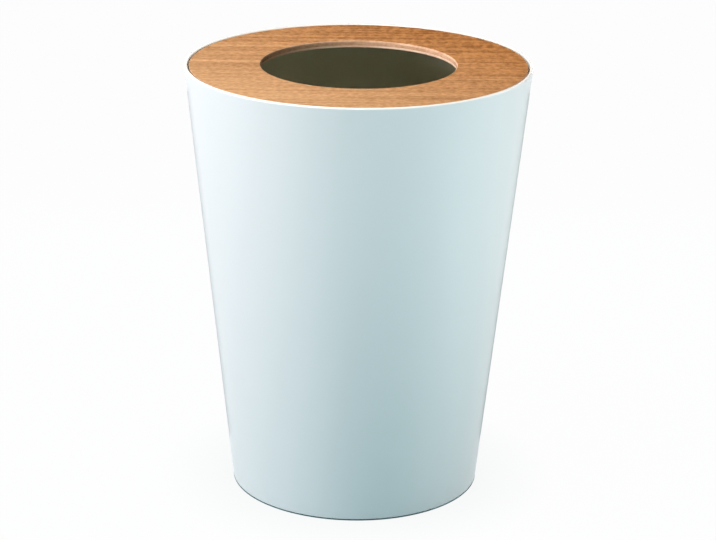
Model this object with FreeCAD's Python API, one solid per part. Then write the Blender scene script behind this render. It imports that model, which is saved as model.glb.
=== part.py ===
"""Round waste bin: a tapered sheet-steel body and a loose plywood lid ring with a round mouth.

The frame has its origin on the floor, under the centre of the bin, with +Z up.
The face grain of the lid runs along X, and the front of the bin is towards -Y.
"""

import FreeCAD
import Part
import math
import os

# Driving dimensions of the body, in millimetres
overall_height = 330.0
rim_diameter = 260.0
base_diameter = 190.0
wall_sheet = 0.8
sheet_edge_round = 0.25
largest_round_share = 0.45

# Rim hem: the wall's top edge, folded inwards and down
hem_inner_gap = 0.8
hem_above_ledge = 1.4

# Base pan: a pressed disc with a flange that points down inside the wall
base_recess = 8.0
base_sheet = 0.8
base_bend = 2.0
base_panel_rise = 2.0
base_panel_slope = 3.0
base_panel_bend = 1.6
base_panel_margin = 6.0
flange_above_edge = 0.3
weld_fit = 0.05

# Foot pads under the base pan
foot_count = 4
foot_diameter = 16.0
foot_round = 1.2
foot_inset = 8.0
foot_lift = 1.0

# Seat ring: a pressed channel inside the rim, which the lid rests on
seat_sheet = 0.8
seat_bend = 0.8
seat_leg = 8.0
seat_lip = 4.0
seat_margin = 2.0

# Lid: three plies with one outline
face_ply = 1.7
core_ply = 2.2
back_ply = 1.7
mouth_diameter = 147.0
lid_drop = 0.4
lid_clearance = 0.6
face_arris = 0.8
back_arris = 0.3

# Bumper pads under the lid
bumper_count = 4
bumper_diameter = 8.0
bumper_height = 1.5
bumper_round = 0.4
bumper_inset = 2.5

# Wall line: it touches the round of the hem and leaves the floor gap at the base
rim_radius = rim_diameter / 2
base_radius = base_diameter / 2
wall_foot_z = foot_lift
hem_width = hem_inner_gap + 2 * wall_sheet
hem_radius = hem_width / 2
hem_centre = FreeCAD.Vector(rim_radius - hem_radius, 0, overall_height - hem_radius)
wall_foot = FreeCAD.Vector(base_radius, 0, wall_foot_z)
wall_run = hem_centre - wall_foot
wall_angle = math.atan2(wall_run.x, wall_run.z) + math.asin(hem_radius / wall_run.Length)
up_wall = FreeCAD.Vector(math.sin(wall_angle), 0, math.cos(wall_angle))
into_bin = FreeCAD.Vector(-math.cos(wall_angle), 0, math.sin(wall_angle))

# Heights of the lid and of what carries it
lid_top = overall_height - lid_drop
lid_bottom = lid_top - face_ply - core_ply - back_ply
ledge_top = lid_bottom - bumper_height
base_underside = wall_foot_z + base_recess
axis_up = FreeCAD.Vector(0, 0, 1)


def wall_radius(height, depth):
    """Radius, at a height, of the surface that lies a depth inside the wall's outer face."""
    return base_radius + (height - wall_foot_z) * math.tan(wall_angle) - depth / math.cos(wall_angle)


lid_radius = wall_radius(lid_bottom, hem_width) - lid_clearance
mouth_radius = mouth_diameter / 2
bumper_circle = lid_radius - bumper_inset - bumper_diameter / 2
ledge_flat_inner = bumper_circle - bumper_diameter / 2 - seat_margin


def corner(radius, height, bend=0.0):
    """A corner of a half section: its place in the XZ plane and the radius that rounds it."""
    return FreeCAD.Vector(radius, 0, height), bend


def left_of(heading):
    """The unit vector to the left of a heading in the XZ plane, seen from -Y."""
    return FreeCAD.Vector(-heading.z, 0, heading.x)


def heading_between(start, end):
    return (end - start).normalize()


def round_corner(before, point, after, radius):
    """Start, middle and end of the arc that rounds a corner."""
    to_before = heading_between(point, before)
    to_after = heading_between(point, after)
    half_angle = to_before.getAngle(to_after) / 2
    setback = radius / math.tan(half_angle)
    bisector = (to_before + to_after).normalize()
    middle = point + bisector * (radius / math.sin(half_angle) - radius)
    return point + to_before * setback, middle, point + to_after * setback


def outline_face(corners):
    """A flat face in the XZ plane, bounded by straight runs and rounded corners."""
    tolerance = 1e-6
    count = len(corners)
    stretches = []
    for i, (point, radius) in enumerate(corners):
        if radius > tolerance:
            before = corners[i - 1][0]
            after = corners[(i + 1) % count][0]
            stretches.append(round_corner(before, point, after, radius))
        else:
            stretches.append((point,))
    edges = []
    for i, stretch in enumerate(stretches):
        if len(stretch) == 3:
            edges.append(Part.Arc(*stretch).toShape())
        run_start = stretch[-1]
        run_end = stretches[(i + 1) % count][0]
        if run_start.distanceToPoint(run_end) > tolerance:
            edges.append(Part.LineSegment(run_start, run_end).toShape())
    return Part.Face(Part.Wire(edges))


def turned(corners):
    """The solid that a half section sweeps round the Z axis."""
    return outline_face(corners).revolve(FreeCAD.Vector(), axis_up, 360)


def moved_path(path, distance):
    """A bent path moved to its left, with each bend's radius to suit."""
    moved = []
    for i, (point, bend) in enumerate(path):
        if i == 0 or i == len(path) - 1:
            first = min(i, len(path) - 2)
            side = left_of(heading_between(path[first][0], path[first + 1][0]))
            moved.append((point + side * distance, 0.0))
            continue
        heading_in = heading_between(path[i - 1][0], point)
        heading_out = heading_between(point, path[i + 1][0])
        side_in = left_of(heading_in)
        side_out = left_of(heading_out)
        shift = (side_in + side_out) * (distance / (1 + side_in.dot(side_out)))
        turns_left = side_in.dot(heading_out) > 0
        moved.append((point + shift, bend - distance if turns_left else bend + distance))
    return moved


def edge_round(wanted, wall):
    """Radius of an edge's rounding, which leaves the middle of its wall flat."""
    return min(wanted, largest_round_share * wall)


def sheet_section(path, thickness, starts_on_axis=False):
    """Outline of a bent sheet that follows a middle line, with its cut edges rounded.

    A start that lies on the axis is no cut edge, so it stays square.
    """
    end_round = edge_round(sheet_edge_round, thickness)
    start_round = 0.0 if starts_on_axis else end_round
    left = moved_path(path, thickness / 2)
    right = moved_path(path, -thickness / 2)
    for side in (left, right):
        side[0] = (side[0][0], start_round)
        side[-1] = (side[-1][0], end_round)
    return left + right[::-1]


def body_shell():
    """Tapered wall, with its top edge folded into a round hem."""
    bend = hem_radius - wall_sheet / 2
    foot = wall_foot + into_bin * (wall_sheet / 2)
    hem_outside = hem_centre - into_bin * bend + up_wall * bend
    hem_inside = hem_centre + into_bin * bend + up_wall * bend
    leg_end_z = ledge_top + hem_above_ledge
    leg_end = hem_inside - up_wall * ((hem_inside.z - leg_end_z) / up_wall.z)
    path = [(foot, 0.0), (hem_outside, bend), (hem_inside, bend), (leg_end, 0.0)]
    return turned(sheet_section(path, wall_sheet))


def base_pan():
    """Bottom disc with a raised centre panel and a flange against the wall."""
    plane_z = base_underside + base_sheet / 2
    panel_z = plane_z + base_panel_rise
    flange_depth = wall_sheet + weld_fit + base_sheet / 2
    flange_end_z = wall_foot_z + flange_above_edge
    panel_radius = foot_circle() - foot_diameter / 2 - base_panel_margin
    panel_bend = base_panel_bend + base_sheet / 2
    path = [
        corner(0, panel_z),
        corner(panel_radius - base_panel_slope, panel_z, panel_bend),
        corner(panel_radius, plane_z, panel_bend),
        corner(wall_radius(plane_z, flange_depth), plane_z, base_bend + base_sheet / 2),
        corner(wall_radius(flange_end_z, flange_depth), flange_end_z),
    ]
    return turned(sheet_section(path, base_sheet, starts_on_axis=True))


def foot_circle():
    """Radius of the circle that the foot pads stand on."""
    flange_inside = wall_radius(base_underside, wall_sheet + weld_fit + base_sheet)
    return flange_inside - foot_inset - foot_diameter / 2


def lid_seat_ring():
    """Channel ring welded inside the wall: a leg on the wall, a ledge, and a lip that turns down."""
    plane_z = ledge_top - seat_sheet / 2
    leg_depth = wall_sheet + weld_fit + seat_sheet / 2
    leg_end_z = ledge_top - seat_leg
    middle_bend = seat_bend + seat_sheet / 2
    lip_radius = ledge_flat_inner - middle_bend
    path = [
        corner(wall_radius(leg_end_z, leg_depth), leg_end_z),
        corner(wall_radius(plane_z, leg_depth), plane_z, middle_bend),
        corner(lip_radius, plane_z, middle_bend),
        corner(lip_radius, ledge_top - seat_lip),
    ]
    return turned(sheet_section(path, seat_sheet))


def lid_ply(bottom, top, bottom_arris, top_arris):
    """One ply of the lid, between two heights."""
    bottom_round = edge_round(bottom_arris, top - bottom)
    top_round = edge_round(top_arris, top - bottom)
    return turned([
        corner(mouth_radius, bottom, bottom_round),
        corner(lid_radius, bottom, bottom_round),
        corner(lid_radius, top, top_round),
        corner(mouth_radius, top, top_round),
    ])


def pad(diameter, bottom, top, lower_round):
    """A round elastic pad on the Z axis, with its lower edge rounded."""
    radius = diameter / 2
    return turned([
        corner(0, bottom),
        corner(radius, bottom, edge_round(lower_round, top - bottom)),
        corner(radius, top),
        corner(0, top),
    ])


def on_circle(shape, radius, number, count):
    """A copy of a shape, set out on a circle half a step away from the X axis."""
    angle = 2 * math.pi * (number + 0.5) / count
    placed = shape.copy()
    placed.translate(FreeCAD.Vector(radius * math.cos(angle), radius * math.sin(angle), 0))
    return placed


def all_pieces():
    """Every piece of the bin by name."""
    core_bottom = lid_bottom + back_ply
    core_top = core_bottom + core_ply
    pieces = {
        "body_shell": body_shell(),
        "base_pan": base_pan(),
        "lid_seat_ring": lid_seat_ring(),
        "lid_back_ply": lid_ply(lid_bottom, core_bottom, back_arris, 0.0),
        "lid_core_ply": lid_ply(core_bottom, core_top, 0.0, 0.0),
        "lid_face_ply": lid_ply(core_top, lid_top, 0.0, face_arris),
    }
    foot = pad(foot_diameter, 0.0, base_underside, foot_round)
    for number in range(foot_count):
        pieces[f"foot_pad_{number + 1}"] = on_circle(foot, foot_circle(), number, foot_count)
    bumper = pad(bumper_diameter, ledge_top, lid_bottom, bumper_round)
    for number in range(bumper_count):
        pieces[f"lid_bumper_{number + 1}"] = on_circle(bumper, bumper_circle, number, bumper_count)
    return pieces


def main():
    os.makedirs("parts", exist_ok=True)
    for name, shape in all_pieces().items():
        shape.exportStep(os.path.join("parts", name + ".step"))
        box = shape.BoundBox
        print(f"{name}: {len(shape.Solids)} solid, valid {shape.isValid()}, {shape.Volume:.1f} mm3,"
              f" r {box.XMax:.2f}, z {box.ZMin:.2f} to {box.ZMax:.2f}")
    print(f"wall leans {math.degrees(wall_angle):.3f} degrees, lid diameter {2 * lid_radius:.2f},"
          f" ledge at {ledge_top:.2f}")
    print(f"foot circle {2 * foot_circle():.2f}, bumper circle {2 * bumper_circle:.2f}")


main()
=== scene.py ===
# %% [markdown]
# # A round waste bin with a plywood ring lid
#
# The bin is a tapered steel body with a white coat, and a loose wooden ring that hides the edge of the
# bag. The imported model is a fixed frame: it holds every piece at its real size, in metres, with the floor
# at z = 0. Its plain solids could be shown as they are, but they have neither smooth roundings nor
# finishes. So this lesson gives each piece a smooth mesh and its finish, and then sets up the camera and
# a soft studio.

# %% Load the frame
import math
from collections import namedtuple

import bpy
from mathutils import Matrix, Vector


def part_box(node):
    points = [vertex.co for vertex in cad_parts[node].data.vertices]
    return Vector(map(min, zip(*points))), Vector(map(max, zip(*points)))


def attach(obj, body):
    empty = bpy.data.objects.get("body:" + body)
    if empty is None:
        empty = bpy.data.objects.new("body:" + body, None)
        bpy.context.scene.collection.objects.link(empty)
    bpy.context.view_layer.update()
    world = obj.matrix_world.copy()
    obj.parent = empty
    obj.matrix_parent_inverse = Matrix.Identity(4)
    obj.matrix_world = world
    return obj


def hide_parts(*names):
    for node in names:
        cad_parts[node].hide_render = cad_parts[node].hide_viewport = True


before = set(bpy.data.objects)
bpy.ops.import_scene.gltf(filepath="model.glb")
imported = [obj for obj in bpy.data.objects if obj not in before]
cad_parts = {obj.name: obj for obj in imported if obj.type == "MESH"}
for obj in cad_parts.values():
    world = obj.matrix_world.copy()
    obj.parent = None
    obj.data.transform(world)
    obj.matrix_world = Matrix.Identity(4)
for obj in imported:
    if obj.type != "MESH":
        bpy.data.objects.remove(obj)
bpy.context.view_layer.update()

# %% [markdown]
# ## Measuring
#
# The frame is also the ruler. Every main piece is round, so its radii are distances from the upright
# axis. A box would do for the rim, but the wall tapers, and its foot needs the points near the floor, so
# the points themselves are measured. What they don't tell, such as the thickness of a sheet or the height
# of a pressed step, is written down here once, in millimetres. The base's two heights are those of the
# middle of its sheet: the raised panel, and the pan round it.

# %% Sizes of the body
MM = 0.001
SHEET = 0.8 * MM
HEM_WIDTH = 2.4 * MM
PANEL_RISE = 2.0 * MM


def radii(node, below=math.inf):
    """Distances from the axis of those points of a node that lie below a height."""
    points = [v.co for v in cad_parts[node].data.vertices if v.co.z < below]
    return [math.hypot(p.x, p.y) for p in points]


shell_low, shell_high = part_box("body_shell")
rim_radius = max(radii("body_shell"))
rim_top = shell_high.z
foot_z = shell_low.z
foot_radius = max(radii("body_shell", below=foot_z + SHEET))
lid_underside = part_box("lid_back_ply")[0].z
pan_low, pan_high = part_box("base_pan")
panel_height = pan_high.z - SHEET / 2
pan_height = panel_height - PANEL_RISE
print(f"rim: radius {rim_radius / MM:.2f} mm at {rim_top / MM:.2f} mm")
print(f"foot: radius {foot_radius / MM:.2f} mm at {foot_z / MM:.2f} mm, base at {pan_height / MM:.2f} mm")

# %% [markdown]
# ## A lathe made of nodes
#
# Most pieces of the bin are round, so each can be turned from one section, as on a lathe. This node tree
# is that lathe. The section is a mesh of bare edges with sharp corners, and each corner carries its bend
# radius as an attribute. The tree rounds the corners, sweeps the section round a small circle, and merges
# the points that meet on the axis. A spin in mesh code would do too, but in the tree the number of steps
# stays a named input, and the same nodes turn the small pads later on.

# %% Helpers for node trees
def add_node(tree, kind, inputs=None, **options):
    """Adds a node, sets its options, and gives its inputs a value or a link."""
    node = tree.nodes.new(kind)
    for option, choice in options.items():
        setattr(node, option, choice)
    for key, value in (inputs or {}).items():
        if isinstance(value, bpy.types.NodeSocket):
            tree.links.new(value, node.inputs[key])
        else:
            node.inputs[key].default_value = value
    return node


def result(tree, kind, inputs=None, **options):
    """The first output of a new node."""
    return add_node(tree, kind, inputs, **options).outputs[0]


def geometry_tree(name, inputs, build):
    """A Geometry Nodes tree, and the identifiers of its named inputs.

    Build makes the geometry from the inputs. Every tree ends as the export needs it: real meshes, with
    their material.
    """
    tree = bpy.data.node_groups.new(name, "GeometryNodeTree")
    tree.interface.new_socket("Geometry", in_out="OUTPUT", socket_type="NodeSocketGeometry")
    identifiers = {}
    for label, kind in inputs.items():
        socket = tree.interface.new_socket(label, in_out="INPUT", socket_type="NodeSocket" + kind)
        identifiers[label] = socket.identifier
    given = tree.nodes.new("NodeGroupInput").outputs
    real = result(tree, "GeometryNodeRealizeInstances", {"Geometry": build(tree, given)})
    painted = result(tree, "GeometryNodeSetMaterial", {"Geometry": real, "Material": given["Material"]})
    add_node(tree, "NodeGroupOutput", {"Geometry": painted})
    print(f"{name}: a tree of {len(tree.nodes)} nodes")
    return tree, identifiers


# %% The lathe
HUB_RADIUS = 10 * MM
MERGE_DISTANCE = 0.002 * MM
LATHE_INPUTS = {"Section": "Geometry", "Segments": "Int", "Arc Points": "Int", "Material": "Material"}


def rounded_section(tree, given):
    """The section as a curve, with each corner rounded to its own bend."""
    outline = result(tree, "GeometryNodeMeshToCurve", {"Mesh": given["Section"]})
    bend = result(tree, "GeometryNodeInputNamedAttribute", {"Name": "bend"}, data_type="FLOAT")
    return result(
        tree, "GeometryNodeFilletCurve",
        {"Curve": outline, "Count": given["Arc Points"], "Radius": bend, "Limit Radius": True}, mode="POLY")


def lathe_nodes(tree, given):
    """Sweeps the rounded section round the Z axis."""
    section = rounded_section(tree, given)
    laid_flat = result(
        tree, "GeometryNodeTransform",
        {"Geometry": section, "Translation": (-HUB_RADIUS, 0, 0), "Rotation": (math.pi / 2, 0, 0)})
    hub = result(
        tree, "GeometryNodeCurvePrimitiveCircle", {"Resolution": given["Segments"], "Radius": HUB_RADIUS})
    swept = result(tree, "GeometryNodeCurveToMesh", {"Curve": hub, "Profile Curve": laid_flat})
    merged = result(tree, "GeometryNodeMergeByDistance", {"Geometry": swept, "Distance": MERGE_DISTANCE})
    return result(tree, "GeometryNodeSetShadeSmooth", {"Geometry": merged})


lathe = geometry_tree("lathe", LATHE_INPUTS, lathe_nodes)

# %% [markdown]
# ## From section to piece
#
# A section is a list of corners: radius, height and bend. Where it is drawn clockwise, with the outside on
# the left, the faces of a solid ring point outwards. A sheet needs only its middle line, because Solidify
# gives it its thickness and Bevel rounds its cut edges. When all of them have run, the result becomes a
# plain mesh and the modifiers go: they could stay live, but the frame and the export take finished
# meshes. Weighted normals keep the long flat runs flat beside their small roundings.

# %% Sections, trees and plain meshes
def place_in_scene(name, data):
    """A new object in the scene."""
    thing = bpy.data.objects.new(name, data)
    bpy.context.scene.collection.objects.link(thing)
    return thing


def section_object(name, corners, closed):
    """An object whose mesh is the section: bare edges, with a bend radius at each corner."""
    count = len(corners)
    edges = [(i, (i + 1) % count) for i in range(count if closed else count - 1)]
    mesh = bpy.data.meshes.new(name)
    mesh.from_pydata([(radius, 0, height) for radius, height, bend in corners], edges, [])
    bends = mesh.attributes.new("bend", "FLOAT", "POINT")
    bends.data.foreach_set("value", [bend for radius, height, bend in corners])
    return place_in_scene(name, mesh)


def add_tree(piece, tree, identifiers, values):
    """Adds a node tree to a piece as a modifier and sets the tree's inputs."""
    modifier = piece.modifiers.new(tree.name, "NODES")
    modifier.node_group = tree
    for label, value in values.items():
        modifier[identifiers[label]] = value


def bake(piece):
    """Turns what a piece's modifiers make into its plain mesh."""
    weighted = piece.modifiers.new("weighted_normals", "WEIGHTED_NORMAL")
    weighted.keep_sharp = True
    graph = bpy.context.evaluated_depsgraph_get()
    mesh = bpy.data.meshes.new_from_object(piece.evaluated_get(graph))
    piece.modifiers.clear()
    piece.data = mesh
    mesh.name = piece.name
    print(f"{piece.name}: {len(mesh.vertices)} points, {len(mesh.polygons)} faces")
    return piece


# %% Rings and sheets
LATHE_SEGMENTS = 288
ARC_POINTS = 8
CUT_EDGE_ROUND = 0.25 * MM
CUT_EDGE_STEPS = 3
CUT_EDGE_ANGLE = math.radians(60)


def on_the_lathe(name, corners, material, closed):
    """A section with the lathe on it, not yet baked."""
    piece = section_object(name, corners, closed)
    add_tree(piece, *lathe, {"Segments": LATHE_SEGMENTS, "Arc Points": ARC_POINTS, "Material": material})
    return piece


def turned_ring(name, corners, material):
    """A solid ring from its whole section."""
    return bake(on_the_lathe(name, corners, material, closed=True))


def turned_sheet(name, corners, material):
    """A rolled or pressed sheet from its middle line, with its cut edges rounded."""
    piece = on_the_lathe(name, corners, material, closed=False)
    wall = piece.modifiers.new("thickness", "SOLIDIFY")
    wall.thickness = SHEET
    wall.offset = 0.0
    wall.use_even_offset = True
    edges = piece.modifiers.new("cut_edges", "BEVEL")
    edges.width = CUT_EDGE_ROUND
    edges.segments = CUT_EDGE_STEPS
    edges.limit_method = "ANGLE"
    edges.angle_limit = CUT_EDGE_ANGLE
    return bake(piece)


def stand_for(piece, body, slot, *replaced):
    """A finished piece rides on its body and stands for the frame's plain nodes."""
    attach(piece, body)
    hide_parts(*replaced)


print(f"a full turn has {LATHE_SEGMENTS} steps, and each bend has {ARC_POINTS} points")

# %% [markdown]
# ## The white coat
#
# The body is steel with a powder coat, white with a cool tint. Powder melts into a skin that is never
# quite flat: seen close, it has the fine waves called orange peel. One noise makes the waves, and a
# slower one makes clouds in the gloss and in the tone. An even white would look like plain plastic under
# the lamps.
#
# Inside the bin the coat is painted a warmer tone, which is painted shade for the dim, warm light in there.
# On top of the hem it is painted a warm, pale white, which is a painted highlight where the lamp above
# falls. The inside could have a material of its own, but wall and hem are one sheet. So the place of a
# surface and the way it faces decide its tone, all in one finish.

# %% A finish and its colours
# The Mix node's sockets by number, because its sockets for numbers and for colours share their names.
MIX_FACTOR = 0
MIX_FIRST = 6
MIX_SECOND = 7
MIX_RESULT = 2


def new_finish(name):
    """A material with only its main shader. Returns the material, its tree and the shader."""
    material = bpy.data.materials.new(name)
    material.use_nodes = True
    tree = material.node_tree
    return material, tree, tree.nodes["Principled BSDF"]


def paint(tree, shader, colour, roughness):
    """Gives the shader its patterns of colour and of roughness."""
    tree.links.new(colour, shader.inputs["Base Color"])
    tree.links.new(roughness, shader.inputs["Roughness"])


def add_bump(tree, shader, height, depth):
    """Raises and lowers a finish by a height map, whose whole range is this deep in metres."""
    bump = result(tree, "ShaderNodeBump", {"Height": height, "Distance": depth, "Strength": 1.0})
    tree.links.new(bump, shader.inputs["Normal"])


def mix_colour(tree, factor, first, second, blend="MIX"):
    """Mixes two colours by a factor."""
    mixed = add_node(
        tree, "ShaderNodeMix", {MIX_FACTOR: factor, MIX_FIRST: first, MIX_SECOND: second},
        data_type="RGBA", blend_type=blend)
    return mixed.outputs[MIX_RESULT]


# %% Places and directions
def object_place(tree):
    """Where a point lies on the object."""
    return add_node(tree, "ShaderNodeTexCoord").outputs["Object"]


def object_normal(tree):
    """The direction that the surface faces at a point."""
    return add_node(tree, "ShaderNodeTexCoord").outputs["Normal"]


def upright_part(tree, vector):
    """The Z part of a place or of a direction."""
    return add_node(tree, "ShaderNodeSeparateXYZ", {"Vector": vector}).outputs["Z"]


def vector_math(tree, operation, *vectors):
    """A Vector Math node on one or two vectors."""
    return add_node(tree, "ShaderNodeVectorMath", dict(enumerate(vectors)), operation=operation)


# %% Values and noise
# A noise seldom leaves this range.
NOISE_LOW = 0.3
NOISE_HIGH = 0.7


def combine(tree, operation, *values):
    """Several values put together, one after the other, by an operation of the Math node."""
    combined = values[0]
    for value in values[1:]:
        combined = result(tree, "ShaderNodeMath", {0: combined, 1: value}, operation=operation)
    return combined


def rescale(tree, value, start, end, low, high):
    """Maps the range from start to end to the range from low to high, and stops there."""
    return result(
        tree, "ShaderNodeMapRange",
        {"Value": value, "From Min": start, "From Max": end, "To Min": low, "To Max": high})


def share(tree, value, start=NOISE_LOW, end=NOISE_HIGH):
    """0 at the start of a range and 1 at its end. Without a range, it is the usual one of a noise."""
    return rescale(tree, value, start, end, 0.0, 1.0)


def between(tree, part, low, high):
    """The value that is this part of the way from low to high."""
    return rescale(tree, part, 0.0, 1.0, low, high)


def noise(tree, place, size, detail=2.0, stretch=1.0):
    """Cloudy noise whose spots are about this size in metres, longer along X by a stretch."""
    spots = result(
        tree, "ShaderNodeMapping", {"Vector": place, "Scale": (1 / (size * stretch), 1 / size, 1 / size)})
    return add_node(
        tree, "ShaderNodeTexNoise", {"Vector": spots, "Scale": 1.0, "Detail": detail}).outputs["Fac"]


# %% Where the coat changes
# Directions are dot products: a surface starts to count at the first value, and counts fully at the second.
FACES_AXIS = (-0.7, -0.9)
FACES_UP = (0.3, 0.7)
HEM_FACES_UP = (0.1, 0.5)


def inside_shade_share(tree, place):
    """Where the coat gets its painted shade: 1 on a surface between base and lid that faces the axis or
    upwards, 0 elsewhere.
    """
    normal = object_normal(tree)
    height = upright_part(tree, place)
    level = vector_math(tree, "MULTIPLY", place, (1.0, 1.0, 0.0)).outputs[0]
    outward = vector_math(tree, "NORMALIZE", level).outputs[0]
    away = vector_math(tree, "DOT_PRODUCT", normal, outward).outputs["Value"]
    towards_axis = share(tree, away, *FACES_AXIS)
    upwards = share(tree, upright_part(tree, normal), *FACES_UP)
    return combine(
        tree, "MULTIPLY", combine(tree, "MAXIMUM", towards_axis, upwards),
        combine(tree, "GREATER_THAN", height, pan_height), combine(tree, "LESS_THAN", height, lid_underside))


def hem_highlight_share(tree, place):
    """1 on the upper side of the folded hem, where the coat gets a painted highlight, 0 elsewhere."""
    upwards = share(tree, upright_part(tree, object_normal(tree)), *HEM_FACES_UP)
    above_lid = combine(tree, "GREATER_THAN", upright_part(tree, place), lid_underside)
    return combine(tree, "MULTIPLY", upwards, above_lid)


# %% Powder coat
COAT_COLOUR = (0.76, 0.85, 0.87, 1.0)
COAT_CLOUD = (0.745, 0.84, 0.86, 1.0)
# Painted shade: the warmer tone inside the bin stands for the dim, warm light in there.
INSIDE_SHADE_COLOUR = (0.755, 0.77, 0.63, 1.0)
INSIDE_SHADE_CLOUD = (0.725, 0.74, 0.605, 1.0)
# Painted highlight: the warm, pale white on top of the hem, where the lamp above falls.
RIM_HIGHLIGHT = (0.93, 0.91, 0.86, 1.0)
COAT_ROUGHNESS = (0.29, 0.33)
CLOUD_SIZE = 40 * MM
CLOUD_RANGE = (0.15, 0.85)
PEEL_SIZE = 1.6 * MM
PEEL_DEPTH = 0.012 * MM


def powder_coat():
    """The white coat: cool outside, with a painted shade tint inside the bin and a painted highlight on top
    of the hem.
    """
    material, tree, shader = new_finish("white_powder_coat")
    place = object_place(tree)
    cloud = share(tree, noise(tree, place, CLOUD_SIZE), *CLOUD_RANGE)
    wall = mix_colour(tree, cloud, COAT_COLOUR, COAT_CLOUD)
    outside = mix_colour(tree, hem_highlight_share(tree, place), wall, RIM_HIGHLIGHT)
    inside_shade = mix_colour(tree, cloud, INSIDE_SHADE_COLOUR, INSIDE_SHADE_CLOUD)
    colour = mix_colour(tree, inside_shade_share(tree, place), outside, inside_shade)
    paint(tree, shader, colour, between(tree, cloud, *COAT_ROUGHNESS))
    add_bump(tree, shader, noise(tree, place, PEEL_SIZE, detail=1.0), PEEL_DEPTH)
    return material


white_coat = powder_coat()
print("finish:", white_coat.name)

# %% [markdown]
# ## The wall and its hem
#
# The wall is one sheet, rolled into a cone and welded. Its top edge is folded inwards and down, which
# makes the thin white rim round the lid and hides the cut edge. It could be a cone with a ring on top,
# but then a seam would show where the real sheet runs on. The middle line of the sheet is enough: up the
# wall, over the fold and a short way down again. The wall's line touches the round of the hem, so its
# lean follows from the rim and the foot.

# %% Body shell
HEM_BELOW_LID = 0.1 * MM

hem_radius = HEM_WIDTH / 2
hem_centre = Vector((rim_radius - hem_radius, rim_top - hem_radius))
wall_foot = Vector((foot_radius, foot_z))
wall_run = hem_centre - wall_foot
wall_lean = math.atan2(wall_run.x, wall_run.y) + math.asin(hem_radius / wall_run.length)
up_wall = Vector((math.sin(wall_lean), math.cos(wall_lean)))
into_bin = Vector((-up_wall.y, up_wall.x))


def wall_radius(height, depth):
    """Radius, at a height, of the surface that lies a depth inside the wall's outer face."""
    return foot_radius + (height - foot_z) * math.tan(wall_lean) - depth / math.cos(wall_lean)


fold = hem_radius - SHEET / 2
fold_outside = hem_centre + (up_wall - into_bin) * fold
fold_inside = hem_centre + (up_wall + into_bin) * fold
leg_end = lid_underside - HEM_BELOW_LID
body_shell = turned_sheet(
    "bin_wall",
    [
        (wall_radius(foot_z, SHEET / 2), foot_z, 0.0),
        (*fold_outside, fold),
        (*fold_inside, fold),
        (wall_radius(leg_end, HEM_WIDTH - SHEET / 2), leg_end, 0.0),
    ],
    white_coat)
stand_for(body_shell, "bin", "white_coat", "body_shell")
print(f"wall: leans {math.degrees(wall_lean):.2f} degrees")

# %% [markdown]
# ## The weld
#
# The two edges of the rolled sheet meet in one upright weld, which is turned to the back. It is ground
# nearly flush, so a low flat bead is left under the coat. A bump in the material could hint at it, but a
# real bead catches the light along its sides and is part of the mesh. It follows a path, so a tree
# sweeps its small section up the wall. Its lower corners lie in the sheet, which leaves no gap along its
# edges.

# %% Weld bead
BEAD_WIDTH = 5 * MM
BEAD_CROWN = 3 * MM
BEAD_RISE = 0.3 * MM
BEAD_SINK = 0.3 * MM
BEAD_MARGIN = 1.5 * MM
BEAD_INPUTS = {
    "Section": "Geometry", "Start": "Vector", "End": "Vector", "Arc Points": "Int", "Material": "Material"}


def bead_nodes(tree, given):
    """Sweeps the rounded section along a straight path."""
    section = rounded_section(tree, given)
    laid_flat = result(
        tree, "GeometryNodeTransform", {"Geometry": section, "Rotation": (-math.pi / 2, 0, 0)})
    path = result(tree, "GeometryNodeCurvePrimitiveLine", {"Start": given["Start"], "End": given["End"]})
    swept = result(
        tree, "GeometryNodeCurveToMesh", {"Curve": path, "Profile Curve": laid_flat, "Fill Caps": True})
    return result(tree, "GeometryNodeSetShadeSmooth", {"Geometry": swept})


def weld_bead():
    """The bead at the back of the wall, from near the foot to just under the hem."""
    side = BEAD_WIDTH / 2
    crown = BEAD_CROWN / 2
    section = [
        (-side, -BEAD_SINK, 0.0),
        (-crown, BEAD_RISE, side),
        (crown, BEAD_RISE, side),
        (side, -BEAD_SINK, 0.0),
    ]
    low = foot_z + BEAD_MARGIN
    high = rim_top - HEM_WIDTH - BEAD_MARGIN
    piece = section_object("bin_weld", section, closed=True)
    add_tree(
        piece, *geometry_tree("bead_up_the_wall", BEAD_INPUTS, bead_nodes),
        {"Start": (0.0, wall_radius(low, 0.0), low), "End": (0.0, wall_radius(high, 0.0), high),
         "Arc Points": ARC_POINTS, "Material": white_coat})
    return bake(piece)


bead = weld_bead()
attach(bead, "bin")

# %% [markdown]
# ## The base pan
#
# The bottom is a pressed disc. A raised centre stiffens it, and its flange points down inside the wall,
# where it is spot-welded. A flat disc would close the bin as well, but its edge would look cut out and
# not pressed. Like the wall, it is a sheet that follows a middle line, this time from the axis outwards.
# The panel ends a little way inside the feet, so their circle is measured first.

# %% Base pan
BASE_BEND = 2.4 * MM
PANEL_BEND = 2.0 * MM
PANEL_SLOPE = 3.0 * MM
PANEL_MARGIN = 6.0 * MM
WELD_FIT = 0.05 * MM

Pad = namedtuple("Pad", "bottom top radius circle")


def measure_pad(node):
    """The heights of a round pad, its radius, and the radius of the circle that it stands on."""
    low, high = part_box(node)
    middle = (low + high) / 2
    return Pad(low.z, high.z, (high.x - low.x) / 2, math.hypot(middle.x, middle.y))


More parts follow.
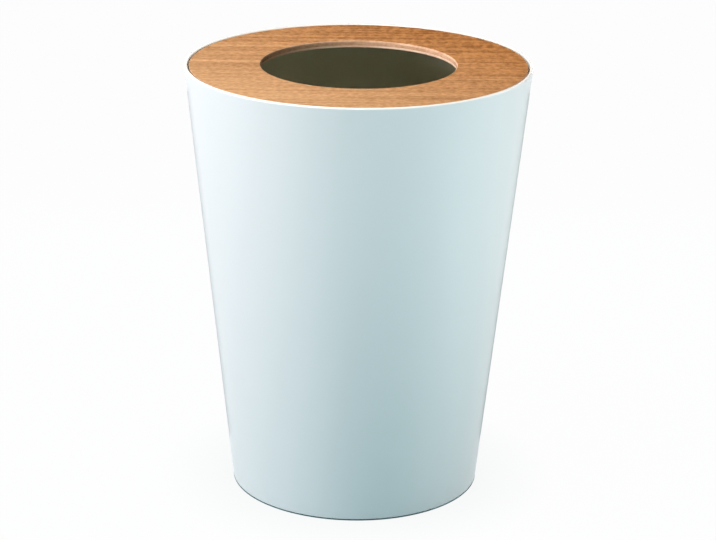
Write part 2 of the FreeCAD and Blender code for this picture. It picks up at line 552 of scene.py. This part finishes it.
foot = measure_pad("foot_pad_1")
panel_radius = foot.circle - foot.radius - PANEL_MARGIN
flange_depth = SHEET + WELD_FIT + SHEET / 2
base_pan = turned_sheet(
    "bin_base",
    [
        (0.0, panel_height, 0.0),
        (panel_radius - PANEL_SLOPE, panel_height, PANEL_BEND),
        (panel_radius, pan_height, PANEL_BEND),
        (wall_radius(pan_height, flange_depth), pan_height, BASE_BEND),
        (wall_radius(pan_low.z, flange_depth), pan_low.z, 0.0),
    ],
    white_coat)
stand_for(base_pan, "bin", "white_coat", "base_pan")

# %% [markdown]
# ## The seat ring
#
# The lid needs something to lie on. A few tabs would hold it, but a channel ring inside the rim gives it
# a flat ledge all round and stiffens the wall. One leg of the channel lies against the wall, and the
# short lip at the inner edge is turned down, so that no bag is cut on it. It is one more sheet on its
# middle line.

# %% Seat ring
SEAT_BEND = 1.2 * MM
SEAT_LIP = 4.0 * MM

seat_low, seat_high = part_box("lid_seat_ring")
ledge_height = seat_high.z - SHEET / 2
lip_radius = min(radii("lid_seat_ring")) + SHEET / 2
seat_ring = turned_sheet(
    "bin_seat_ring",
    [
        (wall_radius(seat_low.z, flange_depth), seat_low.z, 0.0),
        (wall_radius(ledge_height, flange_depth), ledge_height, SEAT_BEND),
        (lip_radius, ledge_height, SEAT_BEND),
        (lip_radius, seat_high.z - SEAT_LIP, 0.0),
    ],
    white_coat)
stand_for(seat_ring, "bin", "white_coat", "lid_seat_ring")

# %% [markdown]
# ## Pads set out on a circle
#
# Round pads repeat under the base and under the lid, four of each. They could be copied by hand, but one
# tree turns a pad's section and sets the copies out on a circle, so that the shape, the number and the
# circle are each one input. The copies are made real at the end.

# %% The tree that sets pads out
PAD_COUNT = 4
PAD_SEGMENTS = 48
PAD_INPUTS = {**LATHE_INPUTS, "Count": "Int", "Circle Radius": "Float", "First Angle": "Float"}


def pad_nodes(tree, given):
    """Turns one pad and puts copies of it on a circle."""
    circle = result(
        tree, "GeometryNodeMeshCircle", {"Vertices": given["Count"], "Radius": given["Circle Radius"]})
    angle = result(tree, "ShaderNodeCombineXYZ", {"Z": given["First Angle"]})
    turned = result(tree, "GeometryNodeTransform", {"Geometry": circle, "Rotation": angle})
    return result(
        tree, "GeometryNodeInstanceOnPoints", {"Points": turned, "Instance": lathe_nodes(tree, given)})


def pads_on_circle(name, section, circle_radius, material):
    """One piece that holds all the pads of a kind."""
    piece = section_object(name, section, closed=False)
    add_tree(
        piece, *pad_tree,
        {"Segments": PAD_SEGMENTS, "Arc Points": ARC_POINTS, "Count": PAD_COUNT,
         "Circle Radius": circle_radius, "First Angle": math.pi / PAD_COUNT, "Material": material})
    return bake(piece)


def plain_pads(stem):
    """The names of the frame's plain nodes for all the pads of a kind."""
    return [f"{stem}_{number}" for number in range(1, PAD_COUNT + 1)]


pad_tree = geometry_tree("pads_on_a_circle", PAD_INPUTS, pad_nodes)

# %% [markdown]
# ## Feet
#
# The feet are moulded rubber, glued under the pan. They lift the wall a millimetre off the floor, and
# that gap is the thin dark line under the bin. Plain discs would do for the line, but seen from below a
# moulded foot has a round edge and a shallow recess. Rubber is matt, and a little dusty where it is
# moulded.

# %% Foot pads
FOOT_ROUND = 1.2 * MM
FOOT_RECESS = 5.0 * MM
FOOT_RECESS_DEPTH = 0.6 * MM
FOOT_RECESS_ROUND = 0.3 * MM
RUBBER_COLOUR = (0.075, 0.078, 0.08, 1.0)
RUBBER_DUST = (0.13, 0.13, 0.128, 1.0)
RUBBER_ROUGHNESS = (0.68, 0.85)
DUST_SIZE = 3 * MM
RUBBER_GRAIN_SIZE = 0.35 * MM
RUBBER_GRAIN_DEPTH = 0.02 * MM


def moulded_rubber():
    """Dark rubber with dust on its skin."""
    material, tree, shader = new_finish("grey_rubber")
    place = object_place(tree)
    dust = share(tree, noise(tree, place, DUST_SIZE, detail=4.0))
    colour = mix_colour(tree, dust, RUBBER_COLOUR, RUBBER_DUST)
    paint(tree, shader, colour, between(tree, dust, *RUBBER_ROUGHNESS))
    add_bump(tree, shader, noise(tree, place, RUBBER_GRAIN_SIZE), RUBBER_GRAIN_DEPTH)
    return material


recess_top = foot.bottom + FOOT_RECESS_DEPTH
foot_pads = pads_on_circle(
    "bin_feet",
    [
        (0.0, foot.top, 0.0),
        (foot.radius, foot.top, 0.0),
        (foot.radius, foot.bottom, FOOT_ROUND),
        (FOOT_RECESS, foot.bottom, FOOT_RECESS_ROUND),
        (FOOT_RECESS, recess_top, FOOT_RECESS_ROUND),
        (0.0, recess_top, 0.0),
    ],
    foot.circle, moulded_rubber())
stand_for(foot_pads, "bin", "foot_rubber", *plain_pads("foot_pad"))

# %% [markdown]
# ## Wood
#
# The lid is plywood: two face veneers with the grain along X, and a core whose grain runs across. Wood is
# a bundle of long fibres, so most of these noises are drawn out along the grain: slow bands, growth
# streaks, fine fibres and short dark pores. Flecks and a ripple across the grain break the lines up.
# Together they give one tone, which picks a colour between dark and light.
#
# A picture of a board could be laid on the ring, but it would stop at the edges. A solid pattern runs on
# from the face into the cut edge of the mouth. The cut edges took up less oil, so they are paler than the
# face and a little rougher, and those of the back veneer are the palest. From front left to back right the
# colour of each sheet is deepened by a tint, which is painted shade for the side of the lid where less
# light falls. Its figure also grows stronger that way.

# %% Grain
GRAIN_WANDER = 1.5 * MM
WANDER_SIZE = 60 * MM
WANDER_STRETCH = 3.0
# Painted shade: the wood is deepened towards the back right, where less light falls; the same share
# strengthens the figure.
SHADE_AND_FIGURE_REACH = 110 * MM
SHADE_AND_FIGURE_DIRECTION = (math.sqrt(0.5), math.sqrt(0.5), 0.0)

# The upright part of a surface's direction, from a flat face to a cut edge.
FACES_SIDEWAYS = (0.95, 0.5)


def grain_place(tree, turn):
    """Object coordinates with the grain along X, and fibres that wander a little to the side."""
    turned = result(tree, "ShaderNodeMapping", {"Vector": object_place(tree), "Rotation": (0, 0, turn)})
    wander = noise(tree, turned, WANDER_SIZE, detail=1.0, stretch=WANDER_STRETCH)
    aside = between(tree, wander, -GRAIN_WANDER / 2, GRAIN_WANDER / 2)
    shift = result(tree, "ShaderNodeCombineXYZ", {"Y": aside})
    return vector_math(tree, "ADD", turned, shift).outputs[0]


def shade_and_figure_share(tree, place):
    """How far a point lies towards the back right, which gets painted shade and a stronger figure.

    Where the grain runs along X, it grows from 0 at the front left of the sheet to 1 at its back right.
    """
    across = vector_math(tree, "DOT_PRODUCT", place, SHADE_AND_FIGURE_DIRECTION).outputs["Value"]
    return share(tree, across, -SHADE_AND_FIGURE_REACH, SHADE_AND_FIGURE_REACH)


def cut_edge_share(tree):
    """1 on an upright cut edge, 0 on a flat face."""
    upward = upright_part(tree, object_normal(tree))
    flatness = result(tree, "ShaderNodeMath", {0: upward}, operation="ABSOLUTE")
    return share(tree, flatness, *FACES_SIDEWAYS)


# %% Figure
MIDDLE_TONE = 0.5
FIGURE_STRENGTH = (0.76, 1.31)

# A layer of figure: its size across the grain, how much longer it is along it, how finely it breaks up,
# and its swing in tone.
Layer = namedtuple("Layer", "size stretch detail swing")
BANDS = Layer(size=26 * MM, stretch=10.0, detail=2.0, swing=0.15)
STREAKS = Layer(size=6 * MM, stretch=45.0, detail=3.0, swing=0.72)
FLECKS = Layer(size=3 * MM, stretch=1.3, detail=2.0, swing=0.55)
FIBRES = Layer(size=0.7 * MM, stretch=40.0, detail=2.0, swing=0.15)
RIPPLE = Layer(size=12 * MM, stretch=0.4, detail=2.0, swing=0.6)


def grain(tree, place, layer):
    """The noise of one layer of figure."""
    return noise(tree, place, layer.size, layer.detail, layer.stretch)


def swing(tree, value, layer):
    """A layer's part of the tone, as far above zero as below."""
    return rescale(tree, value, NOISE_LOW, NOISE_HIGH, -layer.swing / 2, layer.swing / 2)


def wood_tone(tree, place, fibres, shaded_side):
    """0 for dark wood and 1 for light. Towards the back right, the figure grows stronger and ripples."""
    ripple = combine(tree, "MULTIPLY", swing(tree, grain(tree, place, RIPPLE), RIPPLE), shaded_side)
    layers = [swing(tree, grain(tree, place, layer), layer) for layer in (BANDS, STREAKS, FLECKS)]
    figure = combine(tree, "ADD", *layers, swing(tree, fibres, FIBRES), ripple)
    strength = between(tree, shaded_side, *FIGURE_STRENGTH)
    return combine(tree, "ADD", combine(tree, "MULTIPLY", figure, strength), MIDDLE_TONE)


print(f"grain: streaks {STREAKS.size / MM:.0f} mm wide, fibres {FIBRES.size / MM:.1f} mm wide")

# %% Veneer
GRAIN_ALONG_X = 0.0
GRAIN_ALONG_Y = math.pi / 2
# Painted shade: the tint that deepens the wood towards the back right.
PAINTED_SHADE_TINT = (0.85, 0.62, 0.375, 1.0)
PORE_SIZE = 0.3 * MM
PORE_STRETCH = 18.0
PORE_RANGE = (0.62, 0.74)
PORE_STRENGTH = 0.4
WOOD_ROUGHNESS = (0.45, 0.55)
EDGE_ROUGHER = 0.15
WOOD_SPECULAR = 0.005
GRAIN_DEPTH = 0.01 * MM

# The colours of a veneer: its wood, its pores and its cut edges.
Veneer = namedtuple("Veneer", "light dark pore edge_light edge_dark")
FACE_COLOURS = Veneer(
    light=(0.76, 0.45, 0.231, 1.0), dark=(0.385, 0.199, 0.089, 1.0), pore=(0.22, 0.08, 0.02, 1.0),
    edge_light=(0.97, 0.69, 0.49, 1.0), edge_dark=(0.76, 0.46, 0.28, 1.0))
CORE_COLOURS = Veneer(
    light=(0.62, 0.34, 0.17, 1.0), dark=(0.36, 0.18, 0.075, 1.0), pore=(0.2, 0.085, 0.03, 1.0),
    edge_light=(0.84, 0.55, 0.37, 1.0), edge_dark=(0.60, 0.34, 0.19, 1.0))
BACK_COLOURS = FACE_COLOURS._replace(
    edge_light=(1.0, 0.79, 0.61, 1.0), edge_dark=(0.9, 0.62, 0.44, 1.0))


def oiled_wood(name, turn, veneer):
    """Oiled veneer with open pores, and its own colours on the cut edges."""
    material, tree, shader = new_finish(name)
    shader.inputs["Specular IOR Level"].default_value = WOOD_SPECULAR
    place = grain_place(tree, turn)
    shaded_side = shade_and_figure_share(tree, place)
    fibres = grain(tree, place, FIBRES)
    pores = share(tree, noise(tree, place, PORE_SIZE, detail=0.0, stretch=PORE_STRETCH), *PORE_RANGE)
    tone = wood_tone(tree, place, fibres, shaded_side)
    plain = mix_colour(tree, tone, veneer.dark, veneer.light)
    # Painted shade: towards the back right the colour is deepened by a tint.
    with_painted_shade = mix_colour(tree, shaded_side, plain, PAINTED_SHADE_TINT, blend="MULTIPLY")
    porous = mix_colour(tree, combine(tree, "MULTIPLY", pores, PORE_STRENGTH), with_painted_shade, veneer.pore)
    cut = cut_edge_share(tree)
    edge = mix_colour(tree, tone, veneer.edge_dark, veneer.edge_light)
    roughness = combine(
        tree, "ADD", rescale(tree, fibres, NOISE_LOW, NOISE_HIGH, *WOOD_ROUGHNESS),
        combine(tree, "MULTIPLY", cut, EDGE_ROUGHER))
    paint(tree, shader, mix_colour(tree, cut, porous, edge), roughness)
    add_bump(tree, shader, combine(tree, "SUBTRACT", fibres, pores), GRAIN_DEPTH)
    return material


face_veneer = oiled_wood("oiled_face", GRAIN_ALONG_X, FACE_COLOURS)
core_veneer = oiled_wood("oiled_core", GRAIN_ALONG_Y, CORE_COLOURS)
back_veneer = oiled_wood("oiled_back", GRAIN_ALONG_X, BACK_COLOURS)
print("finishes:", face_veneer.name, core_veneer.name, back_veneer.name)

# %% [markdown]
# ## The three plies
#
# Each ply is a flat ring, turned from a small rectangle. One thick ring with painted stripes could stand
# for all three, but its grain couldn't change direction from ply to ply. The top edge of the face is
# sanded round. Between the plies a hair-fine rounding draws the glue line, as it shows on a real cut
# edge.

# %% Lid plies
FACE_ARRIS = 0.8 * MM
BACK_ARRIS = 0.3 * MM
GLUE_LINE = 0.06 * MM

mouth_radius = min(radii("lid_core_ply"))
lid_radius = max(radii("lid_core_ply"))


def ply(name, node, slot, top_round, bottom_round, material):
    """One ply of the lid, as a turned ring."""
    low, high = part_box(node)
    piece = turned_ring(
        name,
        [
            (mouth_radius, high.z, top_round),
            (lid_radius, high.z, top_round),
            (lid_radius, low.z, bottom_round),
            (mouth_radius, low.z, bottom_round),
        ],
        material)
    stand_for(piece, "lid", slot, node)


ply("lid_face", "lid_face_ply", "face_veneer", FACE_ARRIS, GLUE_LINE, face_veneer)
ply("lid_core", "lid_core_ply", "core_veneer", GLUE_LINE, GLUE_LINE, core_veneer)
ply("lid_back", "lid_back_ply", "face_veneer", GLUE_LINE, BACK_ARRIS, back_veneer)
print(f"lid: radius {lid_radius / MM:.2f} mm, mouth radius {mouth_radius / MM:.2f} mm")

# %% [markdown]
# ## Bumpers
#
# Small soft pads under the lid keep wood from knocking on the coated ledge. They are milky silicone.
# Paint alone would make them look like chalk, so light goes a little way into them. The tree that set out
# the feet sets them out too.

# %% Lid bumpers
BUMPER_ROUND = 0.5 * MM
SILICONE_COLOUR = (0.72, 0.73, 0.70, 1.0)
SILICONE_CLOUD = (0.64, 0.65, 0.62, 1.0)
SILICONE_ROUGHNESS = (0.3, 0.42)
SILICONE_CLOUD_SIZE = 1.5 * MM
SILICONE_MILKINESS = 0.3
SILICONE_LIGHT_DEPTH = 1 * MM


def milky_silicone():
    """Cloudy silicone that lets some light in."""
    material, tree, shader = new_finish("milky_silicone")
    cloud = share(tree, noise(tree, object_place(tree), SILICONE_CLOUD_SIZE, detail=3.0))
    colour = mix_colour(tree, cloud, SILICONE_COLOUR, SILICONE_CLOUD)
    paint(tree, shader, colour, between(tree, cloud, *SILICONE_ROUGHNESS))
    shader.inputs["Subsurface Weight"].default_value = SILICONE_MILKINESS
    shader.inputs["Subsurface Scale"].default_value = SILICONE_LIGHT_DEPTH
    return material


bumper = measure_pad("lid_bumper_1")
lid_bumpers = pads_on_circle(
    "lid_bumpers",
    [
        (0.0, bumper.top, 0.0),
        (bumper.radius, bumper.top, 0.0),
        (bumper.radius, bumper.bottom, BUMPER_ROUND),
        (0.0, bumper.bottom, 0.0),
    ],
    bumper.circle, milky_silicone())
stand_for(lid_bumpers, "lid", "bumper_silicone", *plain_pads("lid_bumper"))

# %% [markdown]
# ## Camera
#
# The camera looks down a little, through a long lens, and the picture leans by about half a degree. It
# could be placed by eye, but a small error in the tilt shows at once in the ovals of the rim and the
# mouth. So its place, tilt and lens were worked out from the outlines of the rim, the mouth and the foot.

# %% Camera
FRAME_WIDTH = 716
SENSOR_WIDTH = 36.0
FOCAL_PIXELS = 2463.5
CAMERA_PLACE = Vector((0.0, -1.7887, 0.7773))
CAMERA_TILT = math.radians(18.843)
CAMERA_TURN = math.radians(0.037)
CAMERA_ROLL = math.radians(0.626)


def photo_camera():
    """The camera at the photograph's viewing angle."""
    camera = place_in_scene("camera", bpy.data.cameras.new("camera"))
    camera.data.sensor_width = SENSOR_WIDTH
    camera.data.lens = FOCAL_PIXELS * SENSOR_WIDTH / FRAME_WIDTH
    level = math.cos(CAMERA_TILT)
    forward = Vector((math.sin(CAMERA_TURN) * level, math.cos(CAMERA_TURN) * level, -math.sin(CAMERA_TILT)))
    right = Vector((math.cos(CAMERA_TURN), -math.sin(CAMERA_TURN), 0.0))
    up = right.cross(forward)
    rolled_right = right * math.cos(CAMERA_ROLL) + up * math.sin(CAMERA_ROLL)
    rolled_up = up * math.cos(CAMERA_ROLL) - right * math.sin(CAMERA_ROLL)
    turn = Matrix((rolled_right, rolled_up, -forward)).transposed()
    camera.matrix_world = Matrix.LocRotScale(CAMERA_PLACE, turn, None)
    bpy.context.scene.camera = camera
    return camera


print(f"camera: lens {photo_camera().data.lens:.1f} mm")

# %% [markdown]
# ## Floor and backdrop
#
# The bin stands on plain white. Bright lamps on the floor would make it white too, but they would light
# the bin as well. Light Path lets the floor and the backdrop be white for what the camera sees, straight
# or in a reflection, while the light that they throw on the bin stays at a plain level. The floor keeps
# some of its real shading near the bin, and all of it under the bin, so the shadow and the dark gap stay.

# %% Cards, and what the camera sees
def matt_finish(name, colour):
    """A finish of one colour, with no gloss at all."""
    material, tree, shader = new_finish(name)
    shader.inputs["Base Color"].default_value = colour
    shader.inputs["Specular IOR Level"].default_value = 0.0
    return material, tree, shader


def stage_card(name, corners, material):
    """A flat card of four corners that belongs to the stage."""
    mesh = bpy.data.meshes.new(name)
    mesh.from_pydata(corners, [], [(0, 1, 2, 3)])
    mesh.materials.append(material)
    card = place_in_scene(name, mesh)
    return card


def seen_directly(tree):
    """1 for what the camera sees, straight or in gloss or glass, and 0 for light on its way to the bin."""
    rays = add_node(tree, "ShaderNodeLightPath").outputs
    return combine(
        tree, "MAXIMUM", rays["Is Camera Ray"], rays["Is Glossy Ray"], rays["Is Transmission Ray"])


# %% Floor
FLOOR_HALF = 4.0
FLOOR_COLOUR = (0.235, 0.395, 0.42, 1.0)
WHITE = (1.0, 1.0, 1.0, 1.0)
SHADOW_REACH = 60 * MM
GLOW_AT_FOOT = 0.92
GLOW_FAR_OFF = 0.98


def floor_finish():
    """A floor that is white for the camera, and shaded under and near the bin."""
    material, tree, shader = matt_finish("studio_floor", FLOOR_COLOUR)
    from_axis = vector_math(tree, "LENGTH", object_place(tree)).outputs["Value"]
    outside = combine(tree, "GREATER_THAN", from_axis, foot_radius)
    clear = rescale(tree, from_axis, foot_radius, foot_radius + SHADOW_REACH, GLOW_AT_FOOT, GLOW_FAR_OFF)
    white_share = combine(tree, "MULTIPLY", seen_directly(tree), outside, clear)
    glow = result(tree, "ShaderNodeEmission", {"Color": WHITE, "Strength": 1.0})
    mixed = result(tree, "ShaderNodeMixShader", {0: white_share, 1: shader.outputs[0], 2: glow})
    tree.links.new(mixed, tree.nodes["Material Output"].inputs["Surface"])
    return material


floor_corners = [(x * FLOOR_HALF, y * FLOOR_HALF, 0.0) for x, y in ((-1, -1), (1, -1), (1, 1), (-1, 1))]
floor = stage_card("floor", floor_corners, floor_finish())
print("stage:", floor.name)

# %% Backdrop
AMBIENT_STRENGTH = 0.015


def backdrop():
    """A world that is white for the camera and only a faint light for the bin."""
    world = bpy.data.worlds.new("backdrop")
    world.use_nodes = True
    tree = world.node_tree
    ambient = tree.nodes["Background"]
    ambient.inputs["Color"].default_value = WHITE
    ambient.inputs["Strength"].default_value = AMBIENT_STRENGTH
    white = result(tree, "ShaderNodeBackground", {"Color": WHITE, "Strength": 1.0})
    mixed = result(tree, "ShaderNodeMixShader", {0: seen_directly(tree), 1: ambient.outputs[0], 2: white})
    tree.links.new(mixed, tree.nodes["World Output"].inputs["Surface"])
    return world


bpy.context.scene.world = backdrop()
bpy.context.scene.view_settings.view_transform = "Standard"
print("world:", bpy.context.scene.world.name)

# %% [markdown]
# ## Two black strips
#
# A white bin on white has no outline of its own. In a studio, black cards stand just out of the picture,
# and the glossy sides of the bin mirror them as thin dark lines. Darker paint along the sides would be
# right from one angle only. So a black strip stands behind each side and leans as the wall does. It is
# seen only in the gloss: it isn't in the picture, and it takes no light away.

# %% Black strips
BLACK = (0.0, 0.0, 0.0, 1.0)
STRIP_BEHIND = 60 * MM
STRIP_INNER = 3 * MM
STRIP_OUTER = 36 * MM
STRIP_TOP = 290 * MM


def black_strip(name, side, material):
    """A strip behind one side of the bin. Side is -1 on the left and 1 on the right."""
    ends = ((0.0, STRIP_INNER), (0.0, STRIP_OUTER), (STRIP_TOP, STRIP_OUTER), (STRIP_TOP, STRIP_INNER))
    corners = [(side * (wall_radius(height, 0.0) + gap), STRIP_BEHIND, height) for height, gap in ends]
    strip = stage_card(name, corners, material)
    strip.visible_camera = False
    strip.visible_diffuse = False
    strip.visible_shadow = False
    return strip


black_card = matt_finish("black_card", BLACK)[0]
strips = [black_strip("left_flag", -1, black_card), black_strip("right_flag", 1, black_card)]
print("strips:", [strip.name for strip in strips])

# %% [markdown]
# ## Lamps
#
# One even sky would light everything, and the round body would look flat. So a soft box low on the left
# models the body and lights the cut edge of the mouth, and a second one hangs over the front left of the
# lid. Low fills on the right, in front and behind stay no higher than the lid, so the mouth keeps its
# shade. Places and sizes are in metres.

# %% Lamps
def soft_box(name, side, distance, height, aim, size, watts, colour):
    """A soft box. Side is its angle from the front in degrees, with the left below zero."""
    angle = math.radians(side)
    place = Vector((math.sin(angle) * distance, -math.cos(angle) * distance, height))
    beam = Vector((0.0, 0.0, aim)) - place
    lamp = place_in_scene(name, bpy.data.lights.new(name, "AREA"))
    lamp.matrix_world = Matrix.LocRotScale(place, beam.to_track_quat("-Z", "Y"), None)
    lamp.visible_camera = False
    lamp.data.shape = "RECTANGLE"
    lamp.data.size = size[0]
    lamp.data.size_y = size[1]
    lamp.data.energy = watts
    lamp.data.color = colour


soft_box(
    "key_box", side=-73, distance=0.95, height=0.41, aim=0.24, size=(0.55, 0.26), watts=7.5,
    colour=(1.0, 0.875, 0.885))
soft_box(
    "lid_box", side=-52, distance=0.25, height=0.95, aim=0.33, size=(0.3, 0.3), watts=5.4,
    colour=(1.0, 0.98, 0.95))
soft_box(
    "right_fill", side=90, distance=0.65, height=0.29, aim=0.27, size=(0.5, 0.08), watts=1.95,
    colour=(1.0, 0.92, 0.89))
soft_box(
    "front_fill", side=24, distance=0.55, height=0.293, aim=0.275, size=(0.45, 0.075), watts=1.165,
    colour=(0.89, 0.97, 0.98))
soft_box(
    "back_fill", side=180, distance=0.7, height=0.25, aim=0.2, size=(0.8, 0.15), watts=2.5,
    colour=(0.95, 1.0, 1.0))
